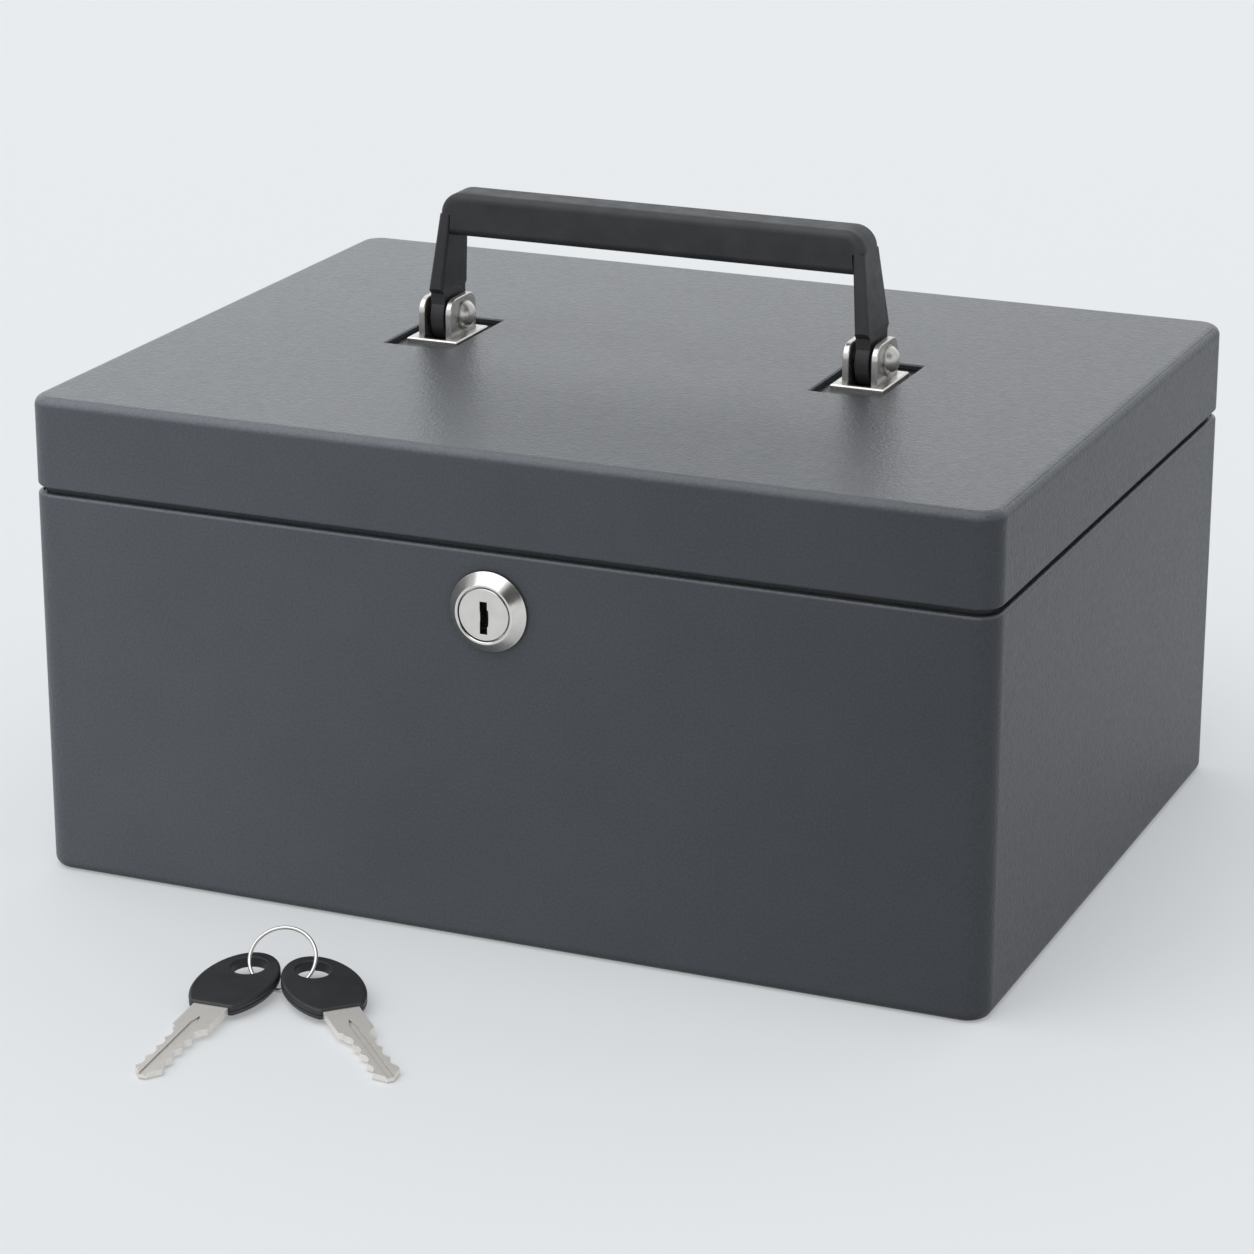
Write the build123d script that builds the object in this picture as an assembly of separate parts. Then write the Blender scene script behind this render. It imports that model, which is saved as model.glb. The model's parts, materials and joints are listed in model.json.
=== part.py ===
from build123d import *
from math import asin, cos, degrees, radians, sin
import os

# Chest outside, mm. The origin is the middle of the flat bottom, the lock faces -Y and +Z is up.
chest_width = 320.0
chest_depth = 240.0
body_top = 127.3
lid_bottom = 129.1
lid_top = 158.5
corner_radius = 8.0
lid_top_fillet = 3.3
body_bottom_fillet = 3.5
seam_edge_fillet = 1.2
sheet = 1.5
spare = 2.0

# Side panels butt against the ends of the wrapped corners.
panel_half_width = 111.0
panel_inner_plane = 158.45
butt_gap = 0.12

# Raised lip inside the mouth of the body.
lip_clearance = 1.0
lip_thickness = 1.2
lip_bottom = 123.0
lip_top = 135.0
lip_band_top = 126.8
lip_hinge_relief = 21.0

# Two concealed three-knuckle hinges.
hinge_x = 95.0
hinge_inset = 4.0
hinge_drop = 5.2
knuckle_radius = 2.2
hinge_pin_radius = 1.1
hinge_pin_clearance = 0.05
leaf_width = 34.0
leaf_thickness = 1.2
leaf_inset = 1.3
lid_knuckle_half = 7.7
notch_half = 8.2
notch_below_axis = 4.6
body_leaf_low = 104.0
lid_leaf_low = 131.0
lid_leaf_high = 148.0
hinge_rivet_radius = 1.5
hinge_rivet_head_radius = 2.6
hinge_rivet_head_height = 0.9
hinge_rivet_spacing = 10.5
body_rivet_z = 109.0
lid_rivet_z = 142.0

# Folding carrying handle: two clevis brackets in shallow wells.
bracket_x = 74.5
well_centre_y = 5.0
well_width = 23.4
well_length = 42.0
well_undercut = 0.3
well_floor = 156.3
well_sheet = 1.0
well_wall = 1.3
opening_chamfer = 0.45
trough_width = 7.8
trough_length = 22.6
trough_floor = 152.0
plate_centre_y = 7.5
plate_width = 18.0
plate_length = 24.4
plate_top = 157.9
ear_gap = 7.6
ear_thickness = 2.1
ear_depth = 19.5
ear_height = 12.8
ear_corner = 5.0
slot_length = 21.0
plate_chamfer = 0.4
ear_chamfer = 0.3
ear_root = 0.5
bracket_stud_radius = 1.6
bracket_stud_head_radius = 2.3
bracket_stud_low = 153.4
bracket_stud_high = 157.4
bracket_stud_x = 7.3
bracket_stud_y = 8.5
pivot_y = 8.5
pivot_z = 164.1
pivot_pin_radius = 2.5
pivot_clearance = 0.05
dome_radius = 4.65
dome_height = 3.0
dome_ring_radius = 5.1
dome_ring_height = 0.7

# Handle pieces, heights above the pivot.
eye_radius = 9.2
eye_thickness = 5.0
eye_edge_fillet = 0.5
neck_height = 8.2
neck_half_depth = 8.0
shoulder_height = 10.2
shoulder_half_depth = 10.0
arm_top_height = 34.9
arm_top_half_depth = 7.2
arm_outer_low = 77.0
arm_outer_top = 74.0
arm_inner_low = 72.1
arm_inner_top = 70.0
arm_low_height = 2.2
arm_edge_fillet = 1.2
grip_joint_gap = 0.05
grip_low_height = 27.9
grip_top_height = 42.1
grip_half_depth = 7.2
grip_top_fillet = 2.6
grip_low_fillet = 2.6
grip_end_radius = 7.2
core_radius = 3.0
core_end_x = 71.5
core_height = 32.5

# Cam lock in the middle of the front.
lock_z = 109.0
bezel_radius = 12.7
bezel_face_radius = 9.65
bezel_rim = 1.0
bezel_edge = 0.22
bezel_protrusion = 4.5
barrel_radius = 10.2
barrel_hole_play = 0.1
barrel_back_y = -103.0
plug_radius = 8.6
plug_clearance = 0.06
plug_face_recess = 0.15
plug_groove = 0.3
plug_groove_depth = 1.1
plug_edge = 0.22
dimple_radius = 2.7
dimple_depth = 0.4
dimple_drop = 0.7
keyway_width = 2.5
keyway_height = 10.3
keyway_drop = 1.0
keyway_bulge_height = 5.2
keyway_bulge = 0.35
keyway_depth = 17.0
wafer_count = 5
wafer_first_y = -119.0
wafer_pitch = 2.6
wafer_thickness = 0.7
wafer_width = 6.8
wafer_height = 14.2
wafer_lift = 0.15
wafer_play = 0.1
wafer_end_play = 0.2
lock_washer_radius = 12.5
lock_washer_thickness = 0.8
nut_across_flats = 24.0
nut_thickness = 4.0
cam_front_y = -101.5
cam_thickness = 2.0
cam_hub_radius = 8.5
cam_hook_inner = 24.2
cam_hook_outer = 28.7
cam_arm_angle = 114.0
cam_hook_end_angle = 80.0
cam_arm_spread = 11.0
tail_radius = 4.5
tail_flat = 3.4
tail_back_y = -99.5
cam_washer_radius = 6.0
cam_washer_thickness = 0.8
cam_screw_head_radius = 4.4
cam_screw_head_height = 2.6
cam_screw_radius = 1.8
cam_screw_reach = 7.5
cross_slot_half = 3.0
cross_slot_width = 1.0
cross_slot_depth = 1.2

# Strike under the lid: a stepped bracket with a stud the cam hooks over.
strike_width = 20.0
strike_sheet = 1.2
strike_low = 137.0
strike_high = 150.0
strike_drop_y = -104.7
strike_drop_low = 127.0
strike_drop_width = 12.0
stud_radius = 2.0
stud_z = 130.5
stud_back_y = -97.5

# Two keys on a wire ring, lying in front of the chest. Lengths along a key start at its hole.
key_a_hole = (-54.5, -177.6)
key_a_direction = -87.0
key_b_hole = (-35.3, -172.6)
key_b_direction = -44.8
key_hole_height = 4.6
key_tip_reach = 72.4
key_head_back = -9.8
key_head_flat = 26.8
key_head_half_length = 20.0
key_head_half_width = 12.0
key_head_corner = 1.6
key_head_edge = 1.0
key_head_thickness = 3.6
key_seam_depth = 0.25
key_seam_width = 0.35
key_hole_length = 11.6
key_hole_width = 10.6
key_hole_edge = 0.5
key_blade_start = 17.0
key_blade_half_width = 4.3
key_collar_half_width = 5.6
key_collar_reach = 41.0
key_collar_slope = 1.2
key_blade_thickness = 2.0
key_cut_shift = 1.4
key_tip_length = 4.2
key_tip_half_width = 1.0
key_groove_half_width = 1.2
key_groove_start = 34.0
key_groove_point = 4.0
key_groove_depth = 0.5
floor_gap = 0.05
ring_radius = 10.2
ring_wire_radius = 0.6
ring_lean = 45.0
ring_shift_a = (1.0, 1.2)
ring_shift_b = (0.3, -1.3)

front_y = -chest_depth / 2
back_y = chest_depth / 2
hinge_y = back_y - hinge_inset
hinge_z = lid_bottom - hinge_drop
barrel_face_y = front_y - bezel_protrusion


def cuboid(x0, x1, y0, y1, z0, z1):
    return Pos((x0 + x1) / 2, (y0 + y1) / 2, (z0 + z1) / 2) * Box(x1 - x0, y1 - y0, z1 - z0)


def rounded_block(width, depth, z0, z1, radius):
    return Pos(0, 0, z0) * extrude(RectangleRounded(width, depth, radius), z1 - z0)


def inset_block(inset, z0, z1):
    return rounded_block(chest_width - 2 * inset, chest_depth - 2 * inset, z0, z1, corner_radius - inset)


def rod_y(radius, x, z, y0, y1):
    return Pos(x, (y0 + y1) / 2, z) * Rot(90, 0, 0) * Cylinder(radius, y1 - y0)


def rod_x(radius, y, z, x0, x1):
    return Pos((x0 + x1) / 2, y, z) * Rot(0, 90, 0) * Cylinder(radius, x1 - x0)


def rod_z(radius, x, y, z0, z1):
    return Pos(x, y, (z0 + z1) / 2) * Cylinder(radius, z1 - z0)


def write(name, shapes):
    pieces = []
    for shape in shapes:
        pieces += shape.solids()
    if len(pieces) == 1:
        export_step(pieces[0], "parts/" + name + ".step")
    else:
        export_step(Compound(pieces), "parts/" + name + ".step")
    print(name, len(pieces), round(sum(p.volume for p in pieces), 1))


def panel_zone(side, z0, z1, shrink):
    half = panel_half_width - shrink
    x_in = panel_inner_plane + shrink
    x_out = chest_width / 2 + spare
    return cuboid(min(side * x_in, side * x_out), max(side * x_in, side * x_out), -half, half, z0, z1)


def make_body():
    outer = inset_block(0, 0, body_top)
    outer = fillet(outer.edges().group_by(Axis.Z)[0], body_bottom_fillet)
    outer = fillet(outer.edges().group_by(Axis.Z)[-1], seam_edge_fillet)
    inner = inset_block(sheet, sheet, body_top + spare)
    inner = fillet(inner.edges().group_by(Axis.Z)[0], body_bottom_fillet - sheet)
    shell = outer - inner
    shell -= rod_y(barrel_radius + barrel_hole_play, 0, lock_z, front_y - spare, front_y + spare)
    for x in (-hinge_x, hinge_x):
        shell -= cuboid(x - notch_half, x + notch_half, back_y - spare, back_y + spare,
                        hinge_z - notch_below_axis, body_top + spare)
        for dx in (-hinge_rivet_spacing, hinge_rivet_spacing):
            shell -= rod_y(hinge_rivet_radius, x + dx, body_rivet_z, back_y - spare, back_y + spare)
    panels = []
    for side in (-1, 1):
        panels.append(shell & panel_zone(side, -spare, body_top + spare, butt_gap / 2))
    for side in (-1, 1):
        shell -= panel_zone(side, -spare, body_top + spare, -butt_gap / 2)
    return shell, panels


def make_lip():
    band = inset_block(sheet, lip_bottom, lip_band_top)
    lip = inset_block(sheet + lip_clearance, lip_bottom, lip_top)
    hole = inset_block(sheet + lip_clearance + lip_thickness, lip_bottom - spare, lip_top + spare)
    ring = (band + lip) - hole
    for x in (-hinge_x, hinge_x):
        ring -= cuboid(x - lip_hinge_relief, x + lip_hinge_relief, back_y - corner_radius, back_y + spare,
                       lip_bottom - spare, lip_top + spare)
    return ring


def make_lid():
    outer = inset_block(0, lid_bottom, lid_top)
    outer = fillet(outer.edges().group_by(Axis.Z)[-1], lid_top_fillet)
    outer = fillet(outer.edges().group_by(Axis.Z)[0], seam_edge_fillet)
    inner = inset_block(sheet, lid_bottom - spare, lid_top - sheet)
    inner = fillet(inner.edges().group_by(Axis.Z)[-1], lid_top_fillet - sheet)
    shell = outer - inner
    for x in (-bracket_x, bracket_x):
        opening = Rectangle(well_width, well_length)
        shell -= Pos(x, well_centre_y, lid_top - spare) * extrude(opening, 2 * spare)
        shell -= Pos(x, well_centre_y, lid_top - opening_chamfer) * extrude(opening, spare, taper=-45)
    for x in (-hinge_x, hinge_x):
        for dx in (-hinge_rivet_spacing, hinge_rivet_spacing):
            shell -= rod_y(hinge_rivet_radius, x + dx, lid_rivet_z, back_y - spare, back_y + spare)
    panels = []
    for side in (-1, 1):
        panels.append(shell & panel_zone(side, lid_bottom - spare, lid_top + spare, butt_gap / 2))
    for side in (-1, 1):
        shell -= panel_zone(side, lid_bottom - spare, lid_top + spare, -butt_gap / 2)
    return shell, panels


def make_well(x):
    half_w = well_width / 2 + well_undercut
    half_l = well_length / 2 + well_undercut
    y = well_centre_y
    underside = lid_top - sheet
    pan = cuboid(x - half_w - well_wall, x + half_w + well_wall, y - half_l - well_wall,
                 y + half_l + well_wall, well_floor - well_sheet, underside)
    pan -= cuboid(x - half_w, x + half_w, y - half_l, y + half_l, well_floor, underside + spare)
    half_t = trough_width / 2
    half_s = trough_length / 2
    pan += cuboid(x - half_t - well_sheet, x + half_t + well_sheet, plate_centre_y - half_s - well_sheet,
                  plate_centre_y + half_s + well_sheet, trough_floor - well_sheet, well_floor - well_sheet)
    pan -= cuboid(x - half_t, x + half_t, plate_centre_y - half_s, plate_centre_y + half_s,
                  trough_floor, well_floor + spare)
    for dx, dy in stud_places():
        pan -= rod_z(bracket_stud_radius, x + dx, plate_centre_y + dy, trough_floor, well_floor + spare)
    return pan


def stud_places():
    return [(sx * bracket_stud_x, sy * bracket_stud_y) for sx in (-1, 1) for sy in (-1, 1)]


def make_bracket(x):
    plate = cuboid(x - plate_width / 2, x + plate_width / 2, plate_centre_y - plate_length / 2,
                   plate_centre_y + plate_length / 2, well_floor, plate_top)
    plate = chamfer(plate.faces().sort_by(Axis.Z)[-1].edges(), plate_chamfer)
    plate -= cuboid(x - ear_gap / 2, x + ear_gap / 2, plate_centre_y - slot_length / 2,
                    plate_centre_y + slot_length / 2, well_floor - spare, plate_top + spare)
    middle = plate_top + (ear_height - ear_root) / 2
    ear_face = Plane.YZ * Pos(plate_centre_y, middle) * Rectangle(ear_depth, ear_height + ear_root)
    ear_face = fillet(ear_face.vertices().group_by(Axis.Z)[-1], ear_corner)
    ear = extrude(ear_face, ear_thickness)
    sides = ear.faces().sort_by(Axis.X)
    ear = chamfer(sides[0].edges() + sides[-1].edges(), ear_chamfer)
    plate += Pos(x + ear_gap / 2, 0, 0) * ear
    plate += Pos(x - ear_gap / 2 - ear_thickness, 0, 0) * ear
    reach = ear_gap / 2 + ear_thickness + spare
    plate -= rod_x(pivot_pin_radius, pivot_y, pivot_z, x - reach, x + reach)
    for dx, dy in stud_places():
        plate -= rod_z(bracket_stud_radius, x + dx, plate_centre_y + dy, well_floor - spare,
                       bracket_stud_high)
    return plate


def make_pivot_pin(x):
    half = ear_gap / 2 + ear_thickness
    ring_end = half + dome_ring_height
    tip = ring_end + dome_height
    ball_radius = (dome_radius ** 2 + dome_height ** 2) / (2 * dome_height)
    pin = rod_x(pivot_pin_radius, 0, 0, -half, half)
    for side in (-1, 1):
        pin += rod_x(dome_ring_radius, 0, 0, *sorted((side * half, side * ring_end)))
        ball = Pos(side * (tip - ball_radius), 0, 0) * Rot(0, 90, 0) * Sphere(ball_radius)
        pin += ball & rod_x(dome_ring_radius, 0, 0, *sorted((side * ring_end, side * tip)))
    return Pos(x, pivot_y, pivot_z) * pin


def make_bracket_studs():
    studs = []
    for x in (-bracket_x, bracket_x):
        for dx, dy in stud_places():
            shank = rod_z(bracket_stud_radius, x + dx, plate_centre_y + dy, bracket_stud_low,
                          bracket_stud_high)
            head = rod_z(bracket_stud_head_radius, x + dx, plate_centre_y + dy, bracket_stud_low,
                         well_floor - well_sheet)
            studs.append(shank + head)
    return studs


def make_arm(side):
    side_profile = [(-shoulder_half_depth, shoulder_height), (-arm_top_half_depth, arm_top_height),
                    (arm_top_half_depth, arm_top_height), (shoulder_half_depth, shoulder_height),
                    (neck_half_depth, neck_height), (neck_half_depth, 0), (-neck_half_depth, 0),
                    (-neck_half_depth, neck_height)]
    slab = extrude(Plane.YZ * Polygon(*side_profile, align=None), chest_width / 2, both=True)
    front_profile = [(arm_inner_low, shoulder_height), (arm_inner_top, arm_top_height),
                     (arm_outer_top, arm_top_height), (arm_outer_low, shoulder_height),
                     (arm_outer_low, arm_low_height), (arm_inner_low, arm_low_height)]
    blade = extrude(Plane.XZ * Polygon(*front_profile, align=None), 2 * shoulder_half_depth, both=True)
    arm = slab & blade
    long_edges = arm.edges().sort_by(Edge.length)[-4:]
    arm = fillet(long_edges, arm_edge_fillet)
    eye = rod_x(eye_radius, 0, 0, bracket_x - eye_thickness / 2, bracket_x + eye_thickness / 2)
    arm += fillet(eye.edges().filter_by(GeomType.CIRCLE), eye_edge_fillet)
    arm = Pos(0, pivot_y, pivot_z) * arm
    arm -= rod_x(pivot_pin_radius + pivot_clearance, pivot_y, pivot_z, bracket_x - eye_radius,
                 bracket_x + eye_radius)
    arm -= rod_x(core_radius, pivot_y, pivot_z + core_height, 0, core_end_x)
    if side < 0:
        arm = mirror(arm, Plane.YZ)
    return arm


def make_grip():
    low = pivot_z + grip_low_height
    high = pivot_z + grip_top_height
    grip = cuboid(-arm_outer_top, arm_outer_top, pivot_y - grip_half_depth, pivot_y + grip_half_depth,
                  low, high)
    grip = fillet(grip.edges().filter_by(Axis.Y).group_by(Axis.Z)[-1], grip_end_radius)
    inner_gap = grip_half_depth - grip_joint_gap
    outline = grip.edges().filter_by(lambda e: abs(e.center().Y - pivot_y) > inner_gap)
    outline = outline.filter_by(lambda e: e.center().Z > low + spare)
    grip = fillet(outline, grip_top_fillet)
    long_edges = grip.faces().sort_by(Axis.Z)[0].edges().filter_by(Axis.X)
    grip = fillet(long_edges, grip_low_fillet)
    # The ends are cut back to the arms, which lean inwards as they rise.
    slope = (arm_inner_low - arm_inner_top) / (arm_top_height - shoulder_height)
    top_x = arm_inner_top - grip_joint_gap
    low_x = top_x + slope * (arm_top_height - grip_low_height + spare)
    outside = chest_width / 2
    for side in (-1, 1):
        notch = Polygon((side * top_x, arm_top_height), (side * outside, arm_top_height),
                        (side * outside, grip_low_height - spare), (side * low_x, grip_low_height - spare),
                        align=None)
        solid = extrude(Plane.XZ * notch, 2 * shoulder_half_depth, both=True)
        grip -= Pos(0, pivot_y, pivot_z) * solid
    return grip - make_core()


def make_core():
    return rod_x(core_radius, pivot_y, pivot_z + core_height, -core_end_x, core_end_x)


def make_hinge_body_leaf(x):
    y0 = hinge_y + leaf_inset
    y1 = y0 + leaf_thickness
    leaf = cuboid(x - leaf_width / 2, x + leaf_width / 2, y0, y1, body_leaf_low, hinge_z)
    leaf -= cuboid(x - notch_half, x + notch_half, y0 - spare, y1 + spare, hinge_z - notch_below_axis,
                   hinge_z + spare)
    for side in (-1, 1):
        inner = x + side * notch_half
        outer = x + side * leaf_width / 2
        leaf += rod_x(knuckle_radius, hinge_y, hinge_z, min(inner, outer), max(inner, outer))
    leaf -= rod_x(hinge_pin_radius, hinge_y, hinge_z, x - leaf_width, x + leaf_width)
    for dx in (-hinge_rivet_spacing, hinge_rivet_spacing):
        leaf -= rod_y(hinge_rivet_radius, x + dx, body_rivet_z, y0 - spare, y1 + spare)
    return leaf


def make_hinge_lid_leaf(x):
    y0 = hinge_y + leaf_inset
    y1 = y0 + leaf_thickness
    leaf = cuboid(x - leaf_width / 2, x + leaf_width / 2, y0, y1, lid_leaf_low, lid_leaf_high)
    leaf += cuboid(x - lid_knuckle_half, x + lid_knuckle_half, y0, y1, hinge_z, lid_leaf_low)
    leaf += rod_x(knuckle_radius, hinge_y, hinge_z, x - lid_knuckle_half, x + lid_knuckle_half)
    bore = hinge_pin_radius + hinge_pin_clearance
    leaf -= rod_x(bore, hinge_y, hinge_z, x - leaf_width, x + leaf_width)
    for dx in (-hinge_rivet_spacing, hinge_rivet_spacing):
        leaf -= rod_y(hinge_rivet_radius, x + dx, lid_rivet_z, y0 - spare, y1 + spare)
    return leaf


def make_hinge_rivets(z):
    rivets = []
    face = hinge_y + leaf_inset
    for x in (-hinge_x, hinge_x):
        for dx in (-hinge_rivet_spacing, hinge_rivet_spacing):
            shank = rod_y(hinge_rivet_radius, x + dx, z, face - hinge_rivet_head_height, back_y)
            head = rod_y(hinge_rivet_head_radius, x + dx, z, face - hinge_rivet_head_height, face)
            rivets.append(shank + head)
    return rivets


def make_barrel():
    bore = plug_radius + plug_clearance
    rim_y = front_y - bezel_rim
    profile = [(bore + bezel_edge, barrel_face_y), (bezel_face_radius - bezel_edge, barrel_face_y),
               (bezel_face_radius, barrel_face_y + bezel_edge),
               (bezel_radius - bezel_edge, rim_y - bezel_edge),
               (bezel_radius, rim_y), (bezel_radius, front_y), (barrel_radius, front_y),
               (barrel_radius, barrel_back_y), (bore, barrel_back_y), (bore, barrel_face_y + bezel_edge)]
    barrel = revolve(Plane.XY * Polygon(*profile, align=None), Axis.Y)
    return Pos(0, 0, lock_z) * barrel


def keyway(y0, y1):
    low = lock_z - keyway_drop - keyway_height / 2
    slot = cuboid(-keyway_width / 2, keyway_width / 2, y0, y1, low, low + keyway_height)
    bulge_low = lock_z - keyway_drop - keyway_bulge_height / 2
    slot += cuboid(0, keyway_width / 2 + keyway_bulge, y0, y1, bulge_low, bulge_low + keyway_bulge_height)
    return slot


def make_plug():
    face = barrel_face_y + plug_face_recess
    back = barrel_back_y + floor_gap
    neck = plug_radius - plug_groove
    profile = [(0, face), (neck - plug_edge, face), (neck, face + plug_edge),
               (neck, face + plug_groove_depth),
               (plug_radius, face + plug_groove_depth), (plug_radius, back), (0, back)]
    plug = Pos(0, 0, lock_z) * revolve(Plane.XY * Polygon(*profile, align=None), Axis.Y)
    tail = rod_y(tail_radius, 0, lock_z, barrel_back_y, tail_back_y)
    tail &= cuboid(-tail_flat, tail_flat, barrel_back_y, tail_back_y, lock_z - tail_radius,
                   lock_z + tail_radius)
    plug += tail
    plug -= keyway(face - spare, face + keyway_depth)
    ball = (dimple_radius ** 2 + dimple_depth ** 2) / (2 * dimple_depth)
    plug -= Pos(0, face + dimple_depth - ball, lock_z - dimple_drop) * Sphere(ball)
    half_w = wafer_width / 2 + wafer_play
    half_h = wafer_height / 2 + wafer_end_play
    for n in range(wafer_count):
        y = wafer_first_y + n * wafer_pitch
        plug -= cuboid(-half_w, half_w, y - wafer_play, y + wafer_thickness + wafer_play,
                       lock_z - half_h, lock_z + half_h)
    plug -= rod_y(cam_screw_radius, 0, lock_z, tail_back_y - cam_screw_reach, tail_back_y + spare)
    return plug


def make_wafers():
    wafers = []
    for n in range(wafer_count):
        y = wafer_first_y + n * wafer_pitch
        lift = wafer_lift if n % 2 else -wafer_lift
        wafer = cuboid(-wafer_width / 2, wafer_width / 2, y, y + wafer_thickness,
                       lock_z + lift - wafer_height / 2, lock_z + lift + wafer_height / 2)
        wafers.append(wafer - keyway(y - spare, y + spare))
    return wafers


def make_lock_washer():
    y0 = front_y + sheet
    washer = rod_y(lock_washer_radius, 0, lock_z, y0, y0 + lock_washer_thickness)
    return washer - rod_y(barrel_radius, 0, lock_z, y0 - spare, y0 + spare)


def make_nut():
    y0 = front_y + sheet + lock_washer_thickness
    corner = nut_across_flats / 2 / cos(radians(30))
    hexagon = RegularPolygon(corner, 6)
    nut = Pos(0, y0 + nut_thickness, lock_z) * Rot(90, 0, 0) * extrude(hexagon, nut_thickness)
    return nut - rod_y(barrel_radius, 0, lock_z, y0 - spare, y0 + nut_thickness + spare)


def polar(radius, angle):
    return (radius * cos(radians(angle)), radius * sin(radians(angle)))


def make_cam():
    far = 2 * cam_hook_outer
    start = cam_arm_angle - cam_arm_spread
    end = cam_arm_angle + cam_arm_spread
    hook_wedge = Polygon((0, 0), polar(far, cam_hook_end_angle), polar(far, end), align=None)
    arm_wedge = Polygon((0, 0), polar(far, start), polar(far, end), align=None)
    hook = (Circle(cam_hook_outer) - Circle(cam_hook_inner)) & hook_wedge
    arm = Circle(cam_hook_outer) & arm_wedge
    plan = Rot(0, 0, 90) * (Circle(cam_hub_radius) + arm + hook)
    back = cam_front_y + cam_thickness
    cam = Pos(0, back, lock_z) * Rot(90, 0, 0) * extrude(plan, cam_thickness)
    hole = rod_y(tail_radius, 0, lock_z, cam_front_y - spare, back + spare)
    hole &= cuboid(-tail_flat, tail_flat, cam_front_y - spare, back + spare, lock_z - tail_radius,
                   lock_z + tail_radius)
    return cam - hole


def make_cam_washer():
    washer = rod_y(cam_washer_radius, 0, lock_z, tail_back_y, tail_back_y + cam_washer_thickness)
    return washer - rod_y(cam_screw_radius, 0, lock_z, tail_back_y - spare, tail_back_y + spare)


def make_cam_screw():
    seat = tail_back_y + cam_washer_thickness
    top = seat + cam_screw_head_height
    screw = rod_y(cam_screw_head_radius, 0, lock_z, seat, top)
    screw += rod_y(cam_screw_radius, 0, lock_z, tail_back_y - cam_screw_reach + 1, seat)
    upright = Box(cross_slot_width, 2 * cross_slot_depth, 2 * cross_slot_half)
    level = Box(2 * cross_slot_half, 2 * cross_slot_depth, cross_slot_width)
    return screw - Pos(0, top, lock_z) * (upright + level)


def make_strike():
    wall = front_y + sheet
    half = strike_width / 2
    drop_back = strike_drop_y + strike_sheet
    strike = cuboid(-half, half, wall, wall + strike_sheet, strike_low, strike_high)
    strike += cuboid(-half, half, wall, drop_back, strike_low, strike_low + strike_sheet)
    drop_half = strike_drop_width / 2
    strike += cuboid(-drop_half, drop_half, strike_drop_y, drop_back, strike_drop_low,
                     strike_low + strike_sheet)
    strike -= rod_y(stud_radius, 0, stud_z, strike_drop_y - spare, drop_back + spare)
    return strike


def key_place(hole, direction):
    drop = key_hole_height - key_blade_thickness / 2 - floor_gap
    pitch = degrees(asin(drop / key_tip_reach))
    return Pos(hole[0], hole[1], key_hole_height) * Rot(0, 0, direction) * Rot(0, pitch, 0)


def head_slab(inset, thickness):
    # An oval cut off flat where the blade comes out.
    centre = key_head_back + key_head_half_length
    oval = Pos(centre, 0) * Ellipse(key_head_half_length - inset, key_head_half_width - inset)
    half = key_head_half_length
    plan = oval & (Pos(key_head_flat - inset - half, 0) * Rectangle(2 * half, 4 * half))
    slab = extrude(plan, thickness / 2, both=True)
    return fillet(slab.edges().filter_by(Axis.Z).sort_by(Axis.X)[-2:], key_head_corner - inset)


def make_key_head():
    head = head_slab(0, key_head_thickness)
    faces = head.faces().sort_by(Axis.Z)
    head = fillet(faces[0].edges() + faces[-1].edges(), key_head_edge)
    head -= head_slab(-spare, key_seam_width) - head_slab(key_seam_depth, key_seam_width)
    head -= extrude(SlotOverall(key_hole_length, key_hole_width), key_head_thickness, both=True)
    rims = head.faces().sort_by(Axis.Z)[0].inner_wires() + head.faces().sort_by(Axis.Z)[-1].inner_wires()
    return fillet(rims.edges(), key_hole_edge)


def blade_outline():
    half = key_blade_half_width
    collar = key_collar_half_width
    # How far along the blade each cut starts and how deep it goes, mm.
    cuts = [(0.0, 0.0), (2.0, 1.3), (4.2, 1.3), (6.0, 0.3), (8.0, 1.6), (10.2, 1.6), (12.0, 0.5),
            (14.2, 1.8), (16.6, 1.8), (18.6, 0.4), (20.8, 1.4), (22.6, 1.4), (24.2, 0.4)]
    start = key_collar_reach + key_collar_slope
    upper = [(key_blade_start, collar), (key_collar_reach, collar), (start, half)]
    upper += [(start + reach, half - depth) for reach, depth in cuts]
    lower = [(key_blade_start, -collar), (key_collar_reach, -collar), (start, -half)]
    lower += [(start + key_cut_shift + reach, depth - half) for reach, depth in cuts]
    tip = [(key_tip_reach - key_tip_length, half), (key_tip_reach, key_tip_half_width),
           (key_tip_reach, -key_tip_half_width), (key_tip_reach - key_tip_length, -half)]
    return upper + tip + lower[::-1]


def make_key_blade():
    blade = extrude(Polygon(*blade_outline(), align=None), key_blade_thickness / 2, both=True)
    half = key_groove_half_width
    plan = Polygon((key_groove_start, 0), (key_groove_start + key_groove_point, -half),
                   (key_tip_reach + spare, -half), (key_tip_reach + spare, half),
                   (key_groove_start + key_groove_point, half), align=None)
    slab = extrude(plan, key_blade_thickness, both=True)
    web = key_blade_thickness - 2 * key_groove_depth
    keep = Box(4 * key_tip_reach, 4 * half, web)
    return blade - (slab - keep)


def make_key(hole, direction):
    place = key_place(hole, direction)
    blade = make_key_blade()
    head = make_key_head() - blade
    return place * head, place * blade


def shifted(hole, direction, shift):
    c = cos(radians(direction))
    s = sin(radians(direction))
    x = hole[0] + shift[0] * c - shift[1] * s
    y = hole[1] + shift[0] * s + shift[1] * c
    return Vector(x, y, key_hole_height)


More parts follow.
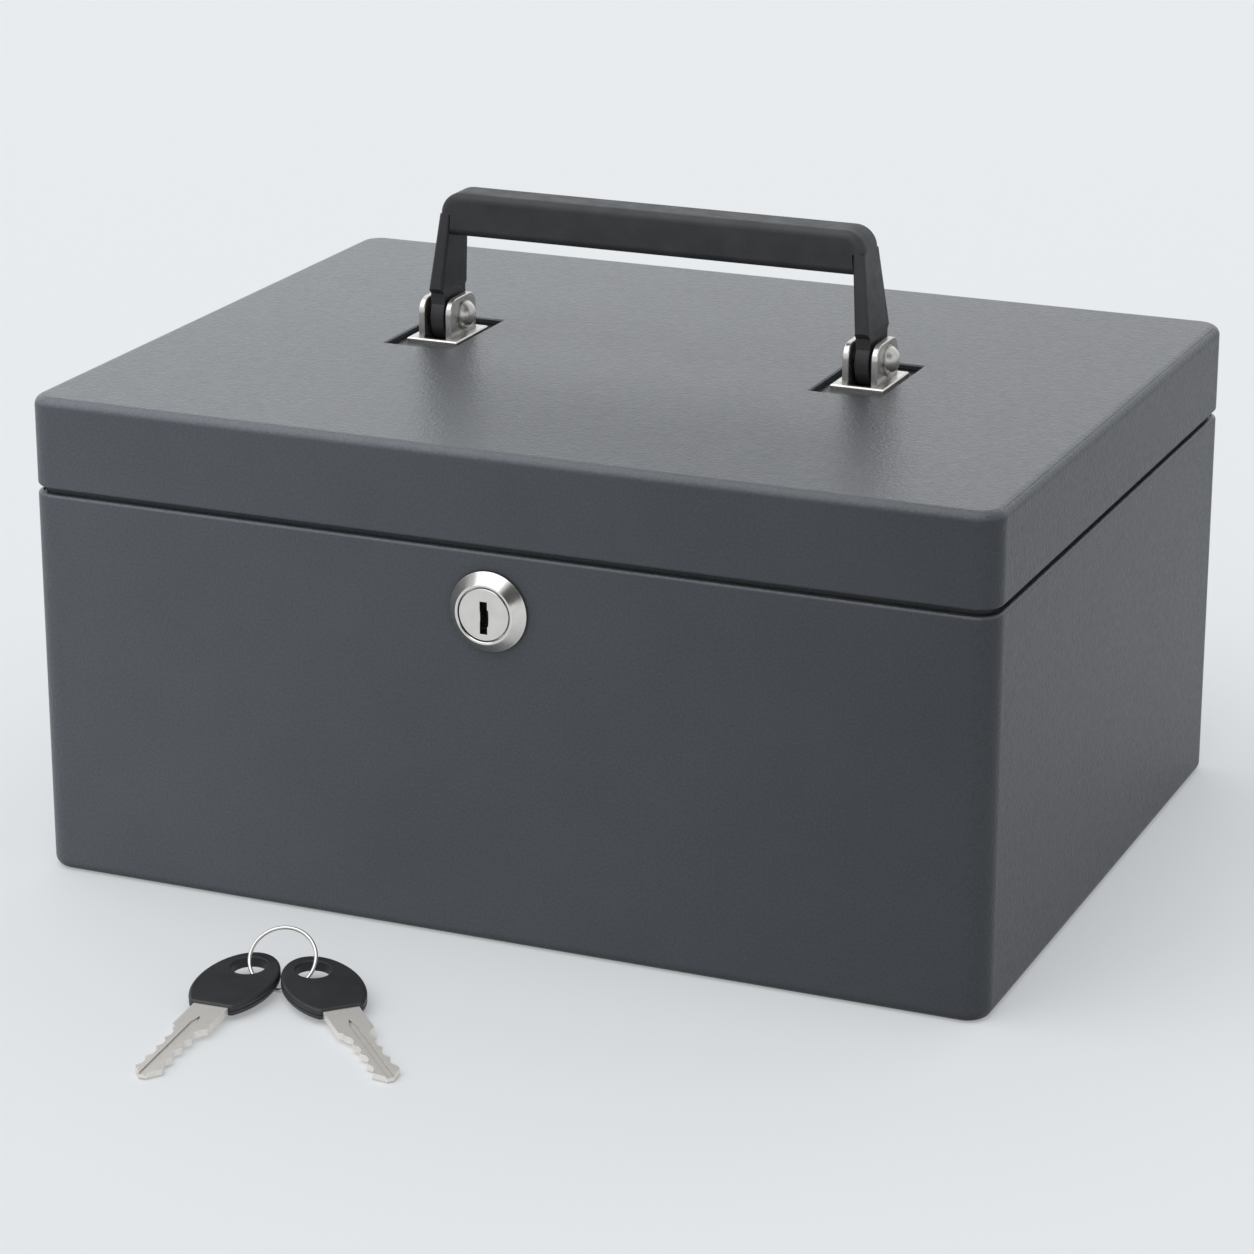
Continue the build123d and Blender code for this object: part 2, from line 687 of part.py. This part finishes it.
def make_ring():
    a = shifted(key_a_hole, key_a_direction, ring_shift_a)
    b = shifted(key_b_hole, key_b_direction, ring_shift_b)
    chord = b - a
    rise = (ring_radius ** 2 - (chord.length / 2) ** 2) ** 0.5
    across = chord.normalized()
    level = Vector(-across.Y, across.X, 0)
    lean = radians(ring_lean)
    upward = level * sin(lean) + Vector(0, 0, cos(lean))
    centre = (a + b) * 0.5 + upward * rise
    plane = Plane(origin=tuple(centre), x_dir=tuple(across), z_dir=tuple(across.cross(upward)))
    return plane * Torus(ring_radius, ring_wire_radius)


os.makedirs("parts", exist_ok=True)

body_shell, body_panels = make_body()
write("body_shell", [body_shell])
write("body_side_left", [body_panels[0]])
write("body_side_right", [body_panels[1]])
rim_pieces = make_lip().solids().sort_by(Axis.Y)
write("body_rim_front", [rim_pieces[0]])
write("body_rim_back", [rim_pieces[1]])
write("hinge_body_leaf_left", [make_hinge_body_leaf(-hinge_x)])
write("hinge_body_leaf_right", [make_hinge_body_leaf(hinge_x)])
write("hinge_body_rivets", make_hinge_rivets(body_rivet_z))
write("hinge_pins", [rod_x(hinge_pin_radius, hinge_y, hinge_z, x - leaf_width / 2, x + leaf_width / 2)
                     for x in (-hinge_x, hinge_x)])
write("lock_barrel", [make_barrel()])
write("lock_washer", [make_lock_washer()])
write("lock_nut", [make_nut()])

lid_shell, lid_panels = make_lid()
write("lid_shell", [lid_shell])
write("lid_side_left", [lid_panels[0]])
write("lid_side_right", [lid_panels[1]])
write("hinge_lid_leaf_left", [make_hinge_lid_leaf(-hinge_x)])
write("hinge_lid_leaf_right", [make_hinge_lid_leaf(hinge_x)])
write("hinge_lid_rivets", make_hinge_rivets(lid_rivet_z))
write("handle_well_left", [make_well(-bracket_x)])
write("handle_well_right", [make_well(bracket_x)])
write("handle_bracket_left", [make_bracket(-bracket_x)])
write("handle_bracket_right", [make_bracket(bracket_x)])
write("bracket_studs", make_bracket_studs())
write("handle_pins", [make_pivot_pin(x) for x in (-bracket_x, bracket_x)])
write("lid_strike", [make_strike()])
write("strike_stud", [rod_y(stud_radius, 0, stud_z, strike_drop_y, stud_back_y)])

write("handle_arm_left", [make_arm(-1)])
write("handle_arm_right", [make_arm(1)])
write("handle_grip", [make_grip()])
write("handle_core", [make_core()])

write("lock_plug", [make_plug()])
write("lock_wafers", make_wafers())
write("lock_cam", [make_cam()])
write("cam_washer", [make_cam_washer()])
write("cam_screw", [make_cam_screw()])

key_a_head, key_a_blade = make_key(key_a_hole, key_a_direction)
key_b_head, key_b_blade = make_key(key_b_hole, key_b_direction)
write("key_a_head", [key_a_head])
write("key_a_blade", [key_a_blade])
write("key_b_head", [key_b_head])
write("key_b_blade", [key_b_blade])
write("key_ring", [make_ring()])
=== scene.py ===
import json
import math
import bpy
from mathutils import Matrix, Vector


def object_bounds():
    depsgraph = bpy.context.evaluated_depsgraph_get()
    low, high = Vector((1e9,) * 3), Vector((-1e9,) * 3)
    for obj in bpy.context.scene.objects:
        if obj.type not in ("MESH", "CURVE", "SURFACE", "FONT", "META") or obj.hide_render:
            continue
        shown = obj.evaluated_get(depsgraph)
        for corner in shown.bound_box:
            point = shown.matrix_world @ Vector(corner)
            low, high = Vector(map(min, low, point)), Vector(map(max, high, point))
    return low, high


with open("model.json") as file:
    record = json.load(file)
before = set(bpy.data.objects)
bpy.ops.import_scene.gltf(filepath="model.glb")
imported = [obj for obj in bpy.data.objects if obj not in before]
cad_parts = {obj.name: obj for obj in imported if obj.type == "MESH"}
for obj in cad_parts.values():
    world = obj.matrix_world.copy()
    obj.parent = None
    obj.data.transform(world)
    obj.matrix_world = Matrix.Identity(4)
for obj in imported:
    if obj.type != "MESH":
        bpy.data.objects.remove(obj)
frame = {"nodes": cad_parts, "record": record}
nodes = frame["nodes"]
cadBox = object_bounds()
print("frame loaded:", len(nodes), "nodes")


# shader helpers

maskLook = {
    "samples": 4,
    "shadeRange": (0.35, 0.9),         # how much open sky counts as full painted shade and as none
}
mixSockets = {"factor": 0, "first": 6, "second": 7, "result": 2}     # the colour ones of a Mix node
noiseMiddle = (0.3, 0.7)               # most of a noise's values lie in here


def newMaterial(name):
    mat = bpy.data.materials.new(name)
    mat.use_nodes = True
    return mat, mat.node_tree, mat.node_tree.nodes["Principled BSDF"]


def objectCoords(tree):
    return tree.nodes.new("ShaderNodeTexCoord").outputs["Object"]


def addNode(tree, kind, **sockets):
    node = tree.nodes.new(kind)
    for key, value in sockets.items():
        node.inputs[key].default_value = value
    return node


def noiseAt(tree, coords, scale, detail, roughness, distortion=0.0):
    noise = addNode(tree, "ShaderNodeTexNoise", Scale=scale, Detail=detail, Roughness=roughness,
                    Distortion=distortion)
    tree.links.new(coords, noise.inputs["Vector"])
    return noise.outputs["Fac"]


def rampFrom(tree, value, low, high, outLow, outHigh):
    ramp = tree.nodes.new("ShaderNodeMapRange")
    tree.links.new(value, ramp.inputs["Value"])
    for socket, number in (("From Min", low), ("From Max", high), ("To Min", outLow), ("To Max", outHigh)):
        ramp.inputs[socket].default_value = number
    return ramp.outputs["Result"]


def mixColors(tree, fac, first, second):
    mix = tree.nodes.new("ShaderNodeMix")
    mix.data_type = "RGBA"
    tree.links.new(fac, mix.inputs[mixSockets["factor"]])
    for place, color in (("first", first), ("second", second)):
        if isinstance(color, (tuple, list)):
            mix.inputs[mixSockets[place]].default_value = (*color, 1.0)
        else:
            tree.links.new(color, mix.inputs[mixSockets[place]])
    return mix.outputs[mixSockets["result"]]


def addMath(tree, operation, first, second):
    node = tree.nodes.new("ShaderNodeMath")
    node.operation = operation
    for index, value in enumerate((first, second)):
        if isinstance(value, (int, float)):
            node.inputs[index].default_value = value
        else:
            tree.links.new(value, node.inputs[index])
    return node.outputs[0]


def addBump(tree, height, strength, distance, under=None):
    bump = addNode(tree, "ShaderNodeBump", Strength=strength, Distance=distance)
    tree.links.new(height, bump.inputs["Height"])
    if under is not None:
        tree.links.new(under, bump.inputs["Normal"])
    return bump.outputs["Normal"]


def edgeMask(tree, reach, low, high):
    # where a rounded normal leaves the true one there is an edge
    bevel = tree.nodes.new("ShaderNodeBevel")
    bevel.samples = maskLook["samples"]
    bevel.inputs["Radius"].default_value = reach
    geometry = tree.nodes.new("ShaderNodeNewGeometry")
    dot = tree.nodes.new("ShaderNodeVectorMath")
    dot.operation = "DOT_PRODUCT"
    tree.links.new(bevel.outputs["Normal"], dot.inputs[0])
    tree.links.new(geometry.outputs["Normal"], dot.inputs[1])
    return rampFrom(tree, dot.outputs["Value"], high, low, 0.0, 1.0)


def creviceShade(tree, reach, darkest):
    # painted shade: colour darkened where little open sky reaches, in corners and where pieces meet
    shade = tree.nodes.new("ShaderNodeAmbientOcclusion")
    shade.samples = maskLook["samples"]
    shade.inputs["Distance"].default_value = reach
    return rampFrom(tree, shade.outputs["AO"], *maskLook["shadeRange"], darkest, 1.0)


def scaleColor(tree, color, amount):
    node = tree.nodes.new("ShaderNodeVectorMath")
    node.operation = "SCALE"
    tree.links.new(color, node.inputs[0])
    tree.links.new(amount, node.inputs["Scale"])
    return node.outputs["Vector"]


def paintedEdgeHighlight(tree, coords, look):
    # painted highlight: edges paler in patches, for the pale lines along them
    edge = edgeMask(tree, look["edgeReach"], *look["edgeRange"])
    patches = rampFrom(tree, noiseAt(tree, coords, *look["highlightPatches"]), *look["highlightPatchRange"], *look["highlightPatchAmount"])
    return addMath(tree, "MULTIPLY", edge, patches)


# powder coat on the sheet steel; each noise is scale, detail, roughness and, if any, distortion

paintLook = {
    "color": (0.055, 0.059, 0.067),
    "colorLight": (0.068, 0.073, 0.082),
    "toneRange": (0.38, 0.62),
    "cloud": (30.0, 4.0, 0.6),         # slow change of tone over a panel
    "cloudShare": 0.25,
    "speck": (1300.0, 2.0, 0.5),       # salt and pepper in the coat
    "halfWidth": cadBox[1].x,
    "leftTone": 1.50,                  # painted light falloff, lighter at the left end, set to the photograph's tones
    "rightTone": 0.76,
    "ridgeHighlight": 0.55,                 # painted highlight on the upper rounded edges
    "ridgeStart": (0.15, 0.5),         # world normal's height where it begins and ends
    "ridgeEnd": (0.88, 0.99),
    # painted shade in corners and between pieces: its reach and darkest tone
    "shadeReach": 0.004,
    "shadeTone": 0.35,
    # painted highlight colour for the edges, laid on in patches
    "edgeHighlightColor": (0.20, 0.215, 0.235),
    "edgeReach": 0.0007,
    "edgeRange": (0.80, 0.99),
    # noise that breaks the painted edge highlight into patches
    "highlightPatches": (160.0, 3.0, 0.55),
    "highlightPatchRange": (0.35, 0.7),
    "highlightPatchAmount": (0.25, 0.8),
    "gloss": (420.0, 3.0, 0.6),
    "roughness": (0.30, 0.38),
    "grain": (950.0, 2.5, 0.5, 0.6),   # orange peel, about 1 mm
    "grainStrength": 0.8,
    "grainDepth": 0.00030,
    "fine": (2600.0, 2.0, 0.5),
    "fineStrength": 0.5,
    "fineDepth": 0.00005,
    "flatRange": (0.2, 0.9),           # world normal's height on a wall and on the top
    "wallShine": 0.22,                 # it's linked, and the export drops a linked one
    "topShine": 0.50,
    "coat": 0.30,
    "coatRoughness": 0.34,
    "bending": 1.45,
}


def paintTone(tree, coords, facetHeight, look):
    cloud = addMath(tree, "MULTIPLY", noiseAt(tree, coords, *look["cloud"]), look["cloudShare"])
    speck = addMath(tree, "MULTIPLY", noiseAt(tree, coords, *look["speck"]), 1.0 - look["cloudShare"])
    tone = rampFrom(tree, addMath(tree, "ADD", cloud, speck), *look["toneRange"], 0.0, 1.0)
    body = mixColors(tree, tone, look["color"], look["colorLight"])
    # painted highlight on the upper rounded edges, from the world normal's height
    paintedRidgeHighlight = rampFrom(tree, facetHeight, *look["ridgeStart"], 0.0, look["ridgeHighlight"])
    paintedRidgeHighlight = addMath(tree, "MULTIPLY", paintedRidgeHighlight, rampFrom(tree, facetHeight, *look["ridgeEnd"], 1.0, 0.0))
    body = scaleColor(tree, body, addMath(tree, "ADD", paintedRidgeHighlight, 1.0))
    # painted light falloff: lighter at the left end, darker at the right
    axes = tree.nodes.new("ShaderNodeSeparateXYZ")
    tree.links.new(coords, axes.inputs[0])
    paintedFalloff = rampFrom(tree, axes.outputs["X"], -look["halfWidth"], look["halfWidth"],
                     look["leftTone"], look["rightTone"])
    # painted shade darkens the coat in corners and where pieces meet
    paintedShade = creviceShade(tree, look["shadeReach"], look["shadeTone"])
    return scaleColor(tree, body, addMath(tree, "MULTIPLY", paintedFalloff, paintedShade))


def powderCoat(name, look):
    mat, tree, shader = newMaterial(name)
    coords = objectCoords(tree)
    # the world's normal, so shine and the painted ridge highlight change as the lid opens
    geometry = tree.nodes.new("ShaderNodeNewGeometry")
    facet = tree.nodes.new("ShaderNodeSeparateXYZ")
    tree.links.new(geometry.outputs["Normal"], facet.inputs[0])
    facetHeight = facet.outputs["Z"]
    # painted highlight on the edges over the coat's colour
    color = mixColors(tree, paintedEdgeHighlight(tree, coords, look), paintTone(tree, coords, facetHeight, look),
                      look["edgeHighlightColor"])
    tree.links.new(color, shader.inputs["Base Color"])
    rough = rampFrom(tree, noiseAt(tree, coords, *look["gloss"]), *noiseMiddle, *look["roughness"])
    tree.links.new(rough, shader.inputs["Roughness"])
    grain = noiseAt(tree, coords, *look["grain"])
    fine = noiseAt(tree, coords, *look["fine"])
    normal = addBump(tree, grain, look["grainStrength"], look["grainDepth"])
    normal = addBump(tree, fine, look["fineStrength"], look["fineDepth"], normal)
    tree.links.new(normal, shader.inputs["Normal"])
    tree.links.new(normal, shader.inputs["Coat Normal"])
    shine = rampFrom(tree, facetHeight, *look["flatRange"], look["wallShine"], look["topShine"])
    tree.links.new(shine, shader.inputs["Specular IOR Level"])
    coat = rampFrom(tree, facetHeight, *look["flatRange"], 0.0, look["coat"])
    tree.links.new(coat, shader.inputs["Coat Weight"])
    shader.inputs["Coat Roughness"].default_value = look["coatRoughness"]
    shader.inputs["IOR"].default_value = look["bending"]
    return mat


# black plastic of the handle and the key heads

handleLook = {
    "color": (0.027, 0.027, 0.028),
    "colorLight": (0.038, 0.038, 0.040),
    "cloud": (90.0, 4.0, 0.55),
    "toneRange": (0.35, 0.65),
    # painted shade in corners and between pieces: its reach and darkest tone
    "shadeReach": 0.003,
    "shadeTone": 0.3,
    # painted highlight colour for the edges, laid on in patches
    "edgeHighlightColor": (0.085, 0.085, 0.088),
    "edgeReach": 0.0005,
    "edgeRange": (0.85, 0.99),
    # noise that breaks the painted edge highlight into patches
    "highlightPatches": (300.0, 3.0, 0.55),
    "highlightPatchRange": (0.4, 0.7),
    "highlightPatchAmount": (0.15, 0.7),
    "gloss": (200.0, 4.0, 0.55),
    "roughness": (0.46, 0.58),
    "grain": (1500.0, 2.0, 0.5),
    "grainStrength": 0.6,
    "grainDepth": 0.00012,
    "bending": 1.48,
}


def mouldedPlastic(name, look):
    mat, tree, shader = newMaterial(name)
    coords = objectCoords(tree)
    tone = rampFrom(tree, noiseAt(tree, coords, *look["cloud"]), *look["toneRange"], 0.0, 1.0)
    body = mixColors(tree, tone, look["color"], look["colorLight"])
    # painted shade darkens the plastic in corners and where pieces meet
    body = scaleColor(tree, body, creviceShade(tree, look["shadeReach"], look["shadeTone"]))
    # painted highlight on the edges over the plastic's colour
    color = mixColors(tree, paintedEdgeHighlight(tree, coords, look), body, look["edgeHighlightColor"])
    tree.links.new(color, shader.inputs["Base Color"])
    rough = rampFrom(tree, noiseAt(tree, coords, *look["gloss"]), *noiseMiddle, *look["roughness"])
    tree.links.new(rough, shader.inputs["Roughness"])
    grain = addBump(tree, noiseAt(tree, coords, *look["grain"]), look["grainStrength"], look["grainDepth"])
    tree.links.new(grain, shader.inputs["Normal"])
    shader.inputs["IOR"].default_value = look["bending"]
    return mat


# bare and plated metals; what they share comes first, and "stretch" draws the brush lines out

metalLook = {
    "cloud": (240.0, 4.0, 0.6),
    "lineDetail": 3.0,
    "lineRoughness": 0.6,
    "lineShine": 0.04,                 # brush lines change the roughness by this much
    "lineStrength": 0.35,
    # darkest tone of the painted shade in corners
    "shadeTone": 0.12,
    "edgeReach": 0.00035,
    "edgeRange": (0.82, 0.99),
}


def brightMetal(name, look):
    mat, tree, shader = newMaterial(name)
    coords = objectCoords(tree)
    stretch = tree.nodes.new("ShaderNodeMapping")
    stretch.inputs["Scale"].default_value = look["stretch"]
    tree.links.new(coords, stretch.inputs["Vector"])
    lines = noiseAt(tree, stretch.outputs["Vector"], look["lineScale"], metalLook["lineDetail"],
                    metalLook["lineRoughness"])
    cloud = noiseAt(tree, coords, *metalLook["cloud"])
    body = mixColors(tree, rampFrom(tree, cloud, *noiseMiddle, 0.0, 1.0), look["color"], look["colorDark"])
    # painted shade darkens the metal in corners and where pieces meet
    body = scaleColor(tree, body, creviceShade(tree, look["paintedShade"], metalLook["shadeTone"]))
    # painted highlight: a paler colour along the metal's edges
    edge = edgeMask(tree, metalLook["edgeReach"], *metalLook["edgeRange"])
    tree.links.new(mixColors(tree, edge, body, look["edgeHighlightColor"]), shader.inputs["Base Color"])
    lineShine = metalLook["lineShine"]
    rough = addMath(tree, "ADD", rampFrom(tree, lines, *noiseMiddle, -lineShine, lineShine),
                    rampFrom(tree, cloud, *noiseMiddle, *look["roughness"]))
    tree.links.new(rough, shader.inputs["Roughness"])
    brushed = addBump(tree, lines, metalLook["lineStrength"], look["lineDepth"])
    tree.links.new(brushed, shader.inputs["Normal"])
    shader.inputs["Metallic"].default_value = look["metal"]
    return mat


# in each look below, the last colour of the first row is a painted highlight for the edges
# in each look below, the number after metal is how far the painted shade in corners reaches
bracketLook = {
    "color": (0.74, 0.72, 0.69), "colorDark": (0.62, 0.60, 0.57), "edgeHighlightColor": (0.92, 0.91, 0.89),
    "roughness": (0.26, 0.34), "metal": 0.92, "paintedShade": 0.0016,
    "stretch": (1.0, 1.0, 9.0), "lineScale": 900.0, "lineDepth": 0.00002,
}
lockLook = {
    "color": (0.74, 0.715, 0.69), "colorDark": (0.68, 0.655, 0.63), "edgeHighlightColor": (0.95, 0.94, 0.92),
    "roughness": (0.17, 0.23), "metal": 1.0, "paintedShade": 0.0012,
    "stretch": (1.0, 1.0, 6.0), "lineScale": 1100.0, "lineDepth": 0.00001,
}
hingeLook = {
    "color": (0.5, 0.51, 0.53), "colorDark": (0.4, 0.41, 0.43), "edgeHighlightColor": (0.66, 0.67, 0.69),
    "roughness": (0.32, 0.42), "metal": 1.0, "paintedShade": 0.002,
    "stretch": (1.0, 5.0, 1.0), "lineScale": 500.0, "lineDepth": 0.00002,
}
bladeLook = {
    "color": (0.90, 0.86, 0.81), "colorDark": (0.80, 0.76, 0.71), "edgeHighlightColor": (0.98, 0.96, 0.93),
    "roughness": (0.38, 0.48), "metal": 0.55, "paintedShade": 0.0008,
    "stretch": (1.0, 1.0, 1.0), "lineScale": 1500.0, "lineDepth": 0.00001,
}
waferLook = {
    "color": (0.62, 0.46, 0.2), "colorDark": (0.5, 0.36, 0.15), "edgeHighlightColor": (0.78, 0.62, 0.34),
    "roughness": (0.3, 0.4), "metal": 1.0, "paintedShade": 0.001,
    "stretch": (1.0, 1.0, 4.0), "lineScale": 700.0, "lineDepth": 0.00002,
}
ringLook = {
    "color": (0.72, 0.71, 0.69), "colorDark": (0.62, 0.61, 0.59), "edgeHighlightColor": (0.85, 0.84, 0.82),
    "roughness": (0.16, 0.24), "metal": 1.0, "paintedShade": 0.0008,
    "stretch": (1.0, 1.0, 1.0), "lineScale": 900.0, "lineDepth": 0.00001,
}
# the well's coat is the chest paint made darker: painted shade for the recess
shadedWellLook = dict(paintLook, color=(0.026, 0.029, 0.034), colorLight=(0.031, 0.035, 0.041))
keyHeadLook = dict(handleLook, color=(0.024, 0.024, 0.026), colorLight=(0.032, 0.032, 0.034),
                   roughness=(0.40, 0.50))

finishes = {
    "chest_paint": powderCoat("chestPaint", paintLook),
    "well_paint": powderCoat("wellPaintShaded", shadedWellLook),
    "handle_black": mouldedPlastic("handleBlack", handleLook),
    "key_black": mouldedPlastic("keyBlack", keyHeadLook),
    "bracket_nickel": brightMetal("bracketNickel", bracketLook),
    "lock_nickel": brightMetal("lockNickel", lockLook),
    "hinge_steel": brightMetal("hingeSteel", hingeLook),
    "key_silver": brightMetal("keySilver", bladeLook),
    "wafer_brass": brightMetal("waferBrass", waferLook),
    "ring_wire": brightMetal("ringWire", ringLook),
}
slotOf = {part["node"]: part["material_slot"] for part in frame["record"]["subparts"]}
for nodeName, obj in nodes.items():
    obj.data.materials.clear()
    obj.data.materials.append(finishes[slotOf[nodeName]])
print("materials set:", len(finishes))


# studio

floorLook = {
    "size": 16.0,
    "color": (0.505, 0.515, 0.522),
    "glow": (0.955, 0.98, 1.0),        # keeps the shadow as pale as a white studio's
    "glowStrength": 0.29,
    "roughness": 0.9,
    "shine": 0.1,
}


def layFloor(look):
    half = look["size"] / 2
    corners = [(-half, -half, 0), (half, -half, 0), (half, half, 0), (-half, half, 0)]
    mesh = bpy.data.meshes.new("studioFloor")
    mesh.from_pydata(corners, [], [(0, 1, 2, 3)])
    floor = bpy.data.objects.new("studioFloor", mesh)
    bpy.context.scene.collection.objects.link(floor)
    mat, tree, shader = newMaterial("studioFloorPaper")
    shader.inputs["Base Color"].default_value = (*look["color"], 1.0)
    shader.inputs["Emission Color"].default_value = (*look["glow"], 1.0)
    shader.inputs["Emission Strength"].default_value = look["glowStrength"]
    shader.inputs["Roughness"].default_value = look["roughness"]
    shader.inputs["Specular IOR Level"].default_value = look["shine"]
    floor.data.materials.append(mat)


lightLook = {
    "worldStrength": 0.62,
    "worldColor": (0.955, 0.98, 1.0),
    "glowFrom": (-0.37, 0.87, 0.34),   # wide softbox behind the chest, seen in the lid's sheen
    "glowSpread": (0.55, 0.98),
    "glowGain": 0.85,
    "fillFrom": (0.50, -0.80, 0.45),   # pale wall on the near side
    "fillSpread": (-0.2, 0.9),
    "fillGain": 0.42,
    "flagFrom": (0.72, -0.35, 0.60),   # black flag that gives the bright metal its dark bands
    "flagSpread": (0.91, 0.96),
    "flagDrop": 0.9,
    "sunStrength": 1.05,
    "sunAngle": 65.0,
    "sunFrom": (-0.30, -0.45, 1.1),
}


def skyPatch(tree, look, name, gain):
    # a soft round patch of the sky, brighter or darker than the rest
    coords = tree.nodes.new("ShaderNodeTexCoord")
    dot = tree.nodes.new("ShaderNodeVectorMath")
    dot.operation = "DOT_PRODUCT"
    dot.inputs[1].default_value = Vector(look[name + "From"]).normalized()
    tree.links.new(coords.outputs["Generated"], dot.inputs[0])
    patch = rampFrom(tree, dot.outputs["Value"], *look[name + "Spread"], 0.0, 1.0)
    return addMath(tree, "MULTIPLY", patch, gain)


def hangLights(look):
    world = bpy.data.worlds.new("studioWorld")
    bpy.context.scene.world = world
    world.use_nodes = True
    tree = world.node_tree
    background = tree.nodes["Background"]
    background.inputs["Color"].default_value = (*look["worldColor"], 1.0)
    glow = skyPatch(tree, look, "glow", look["glowGain"])
    fill = skyPatch(tree, look, "fill", look["fillGain"])
    flag = skyPatch(tree, look, "flag", -look["flagDrop"])
    bright = addMath(tree, "ADD", addMath(tree, "ADD", glow, fill), 1.0)
    level = addMath(tree, "MULTIPLY", bright, addMath(tree, "ADD", flag, 1.0))
    tree.links.new(addMath(tree, "MULTIPLY", level, look["worldStrength"]), background.inputs["Strength"])
    light = bpy.data.lights.new("softSun", "SUN")
    light.energy = look["sunStrength"]
    light.angle = math.radians(look["sunAngle"])
    sun = bpy.data.objects.new("softSun", light)
    bpy.context.scene.collection.objects.link(sun)
    sun.rotation_euler = Vector(look["sunFrom"]).to_track_quat("Z", "Y").to_euler()


cameraLook = {
    "place": (0.49981, -1.17594, 0.5002),
    "aim": (-0.37442514, 0.86975177, -0.32146178),
    "lens": 117.04,
    "sensor": 36.0,
}


def setCamera(look):
    data = bpy.data.cameras.new("photoCamera")
    data.lens = look["lens"]
    data.sensor_width = look["sensor"]
    camera = bpy.data.objects.new("photoCamera", data)
    bpy.context.scene.collection.objects.link(camera)
    camera.location = look["place"]
    camera.rotation_euler = Vector(look["aim"]).to_track_quat("-Z", "Y").to_euler()
    bpy.context.scene.camera = camera
    bpy.context.scene.view_settings.view_transform = "Standard"


layFloor(floorLook)
hangLights(lightLook)
setCamera(cameraLook)
print("studio ready")
